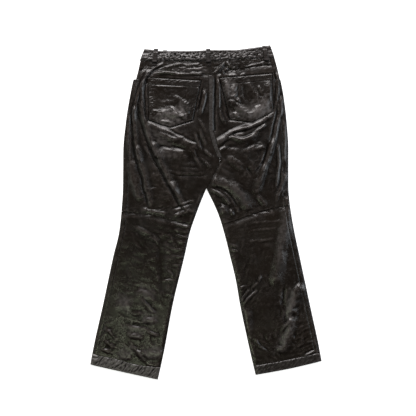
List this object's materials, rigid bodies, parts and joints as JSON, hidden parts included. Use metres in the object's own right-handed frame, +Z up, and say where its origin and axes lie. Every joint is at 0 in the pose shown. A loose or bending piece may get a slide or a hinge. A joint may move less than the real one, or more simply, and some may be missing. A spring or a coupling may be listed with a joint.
{
  "type": "leather trousers",
  "caption": "Jeans-cut leather trousers laid flat with the back up: waistband with belt loops, yokes, patch pockets, knee seams and turned hems.",
  "frame": {"origin": "on the surface, below the middle of the laid garment", "axes": "+Y towards the waist, +Z up out of the back of the garment, +X towards the wearer's right leg"},
  "size_m": [0.7236, 1.0452, 0.0146],
  "materials": {
    "leather": "polished, softly creased",
    "leather_trim": "polished, worn on its edges",
    "zip_tape": "woven tape",
    "button_metal": "dark nickel"
  },
  "bodies": {
    "root": {"waistband_left": "leather_trim", "waistband_right": "leather_trim", "yoke_left": "leather", "yoke_right": "leather", "back_upper_left": "leather", "back_upper_right": "leather", "back_lower_left": "leather", "back_lower_right": "leather", "front_upper_left": "leather", "front_upper_right": "leather", "front_lower_left": "leather", "front_lower_right": "leather", "pocket_facing_left": "leather", "pocket_facing_right": "leather", "back_pocket_left": "leather", "back_pocket_right": "leather", "hem_left": "leather_trim", "hem_right": "leather_trim", "centre_back_strip": "leather_trim", "belt_loop_back_left": "leather_trim", "belt_loop_back_centre": "leather_trim", "belt_loop_back_right": "leather_trim", "belt_loop_front_left": "leather_trim", "belt_loop_front_right": "leather_trim", "fly_flap": "leather", "fly_zip": "zip_tape", "waist_button": "button_metal"}
  },
  "joints": []
}
